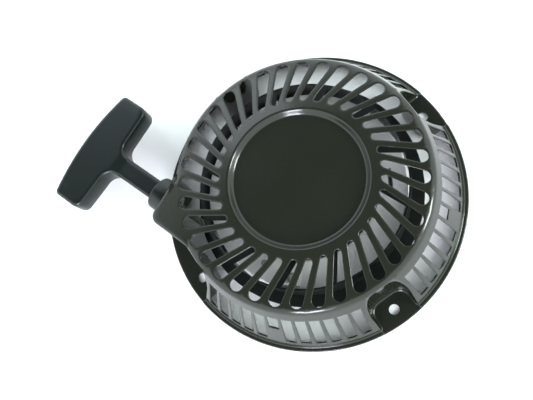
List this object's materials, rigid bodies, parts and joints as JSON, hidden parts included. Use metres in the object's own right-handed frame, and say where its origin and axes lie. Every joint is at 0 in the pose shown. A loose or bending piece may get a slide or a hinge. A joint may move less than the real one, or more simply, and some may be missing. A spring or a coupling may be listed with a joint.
{
  "type": "recoil starter",
  "caption": "Pull-cord recoil starter for a small vertical-shaft engine: slotted black pressed-steel cover, rope pulley, pawls and T-handle.",
  "frame": {"origin": "on the crank axis, in the plane of the mounting flange's underside", "axes": "+Z out through the cover along the crank axis; -X along the rope's line of pull; +Y away from the rope outlet"},
  "size_m": [0.263, 0.21, 0.0544],
  "materials": {
    "cover_paint": "gloss black paint on pressed steel",
    "shroud_paint": "satin black paint on pressed steel",
    "zinc_steel": "zinc plated steel",
    "spring_steel": "blued spring steel",
    "white_nylon": "moulded nylon",
    "bronze_bush": "sintered bronze",
    "rope": "braided cord, white with dark flecks",
    "grip_plastic": "satin moulded plastic"
  },
  "bodies": {
    "cover": {"housing": "cover_paint", "rope_eyelet": "zinc_steel", "inner_shroud": "shroud_paint", "spring_cup": "zinc_steel", "spring_cover": "zinc_steel", "cup_rivets": "zinc_steel", "mainspring": "spring_steel", "centre_post": "zinc_steel", "centre_screw": "zinc_steel", "thrust_washer": "zinc_steel", "brake_spring": "spring_steel", "rope_lead": "rope"},
    "pulley": {"pulley": "white_nylon", "pulley_bush": "bronze_bush", "rope_coil": "rope", "rope_knot": "rope", "pawl_pins": "zinc_steel", "pawl_springs": "spring_steel"},
    "drive_plate": {"drive_plate": "zinc_steel"},
    "pawl_a": {"pawl_a": "zinc_steel"},
    "pawl_b": {"pawl_b": "zinc_steel"},
    "handle": {"handle_grip": "grip_plastic", "handle_collar": "grip_plastic", "handle_washer": "zinc_steel", "rope_tail": "rope", "handle_knot": "rope"}
  },
  "joints": [
    {"name": "pulley_spin", "type": "hinge", "parent": "cover", "child": "pulley", "pos_m": [0, 0, 0.02], "axis": [0, 0, -1], "range_deg": [0, 1240]},
    {"name": "handle_pull", "type": "slide", "parent": "cover", "child": "handle", "axis": [-1, 0, 0], "range_m": [0, 1.2], "deforming": ["rope_lead"]},
    {"name": "plate_turn", "type": "hinge", "parent": "pulley", "child": "drive_plate", "pos_m": [0, 0, 0.006], "axis": [0, 0, 1], "range_deg": [0, 30]},
    {"name": "pawl_a_swing", "type": "hinge", "parent": "pulley", "child": "pawl_a", "pos_m": [0.026, 0, 0.01], "axis": [0, 0, 1], "range_deg": [0, 35]},
    {"name": "pawl_b_swing", "type": "hinge", "parent": "pulley", "child": "pawl_b", "pos_m": [-0.026, 0, 0.01], "axis": [0, 0, 1], "range_deg": [0, 35]}
  ],
  "couplings": [
    {"joint": "handle_pull", "follows": "pulley_spin", "m_per_rad": 0.0553},
    {"joint": "pawl_a_swing", "follows": "plate_turn", "ratio": 1.1666},
    {"joint": "pawl_b_swing", "follows": "plate_turn", "ratio": 1.1666}
  ]
}
